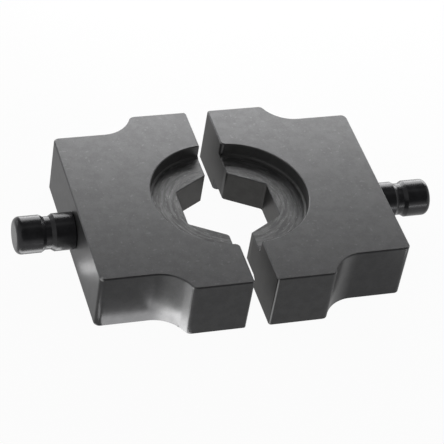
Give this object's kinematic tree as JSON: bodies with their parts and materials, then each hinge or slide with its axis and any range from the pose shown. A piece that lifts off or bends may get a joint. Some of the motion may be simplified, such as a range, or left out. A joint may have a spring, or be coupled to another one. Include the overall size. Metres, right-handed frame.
{
  "type": "crimp die",
  "caption": "Hexagonal crimping die set in matching halves, each with a half-hexagon nest, round relief and a grooved locating pin.",
  "frame": {"origin": "on the nest's axis, midway between the two parting faces, at the halves' lower faces", "axes": "+Z along the crimped cable, up from the lower faces; +X from the left half to the right half, along the pins and the closing stroke; +Y along the parting faces"},
  "size_m": [0.1098, 0.064, 0.016],
  "materials": {
    "die_steel": "blackened tool steel, fine-blasted faces and satin sides",
    "pin_steel": "glossy black-oxidised turned steel"
  },
  "bodies": {
    "left_half": {"left_die": "die_steel", "left_pin": "pin_steel"},
    "right_half": {"right_die": "die_steel", "right_pin": "pin_steel"}
  },
  "joints": [
    {"name": "closing_stroke", "type": "slide", "parent": "left_half", "child": "right_half", "axis": [-1, 0, 0], "range_m": [-0.0101, 0.00588]}
  ]
}
